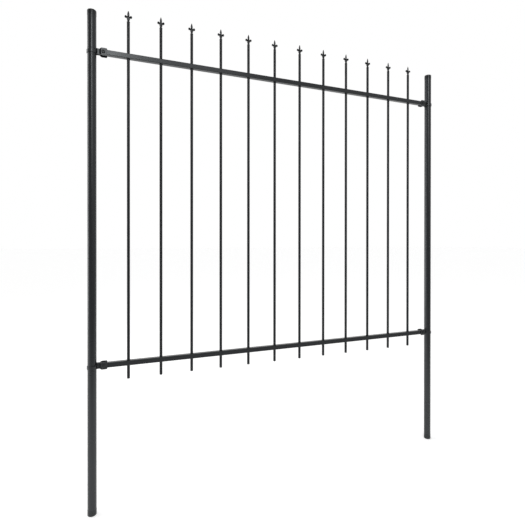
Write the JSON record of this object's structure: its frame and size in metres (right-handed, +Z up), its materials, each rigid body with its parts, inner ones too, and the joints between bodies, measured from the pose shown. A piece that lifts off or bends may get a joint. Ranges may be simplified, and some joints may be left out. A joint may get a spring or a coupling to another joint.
{
  "type": "spear top steel fence panel with two posts",
  "caption": "Open steel fence bay: round posts with low caps, square rails, round bars through both rails, spear heads and bolted strap clamps.",
  "frame": {"origin": "centre of the flat underside of the left post's foot", "axes": "+Z up along the post, +X along the fence to the right post, -Y to the front"},
  "size_m": [1.7441, 0.039, 2.027],
  "materials": {
    "posts": "anthracite powder coat, satin",
    "rails": "anthracite powder coat, satin",
    "bars": "anthracite powder coat, satin",
    "spears": "anthracite powder coat on cast heads, satin",
    "clamps": "anthracite powder coat on pressed strip, satin",
    "post_caps": "moulded, fine matt",
    "bar_plugs": "moulded, fine matt"
  },
  "bodies": {
    "root": {"post_left": "posts", "post_right": "posts", "post_cap_left": "post_caps", "post_cap_right": "post_caps", "foot_cap_left": "post_caps", "foot_cap_right": "post_caps", "bar_plugs": "bar_plugs", "top_rail": "rails", "bottom_rail": "rails", "clamp_top_left": "clamps", "clamp_top_right": "clamps", "clamp_bottom_left": "clamps", "clamp_bottom_right": "clamps", "bar_01": "bars", "bar_02": "bars", "bar_03": "bars", "bar_04": "bars", "bar_05": "bars", "bar_06": "bars", "bar_07": "bars", "bar_08": "bars", "bar_09": "bars", "bar_10": "bars", "bar_11": "bars", "bar_12": "bars", "spear_01": "spears", "spear_02": "spears", "spear_03": "spears", "spear_04": "spears", "spear_05": "spears", "spear_06": "spears", "spear_07": "spears", "spear_08": "spears", "spear_09": "spears", "spear_10": "spears", "spear_11": "spears", "spear_12": "spears"}
  },
  "joints": []
}
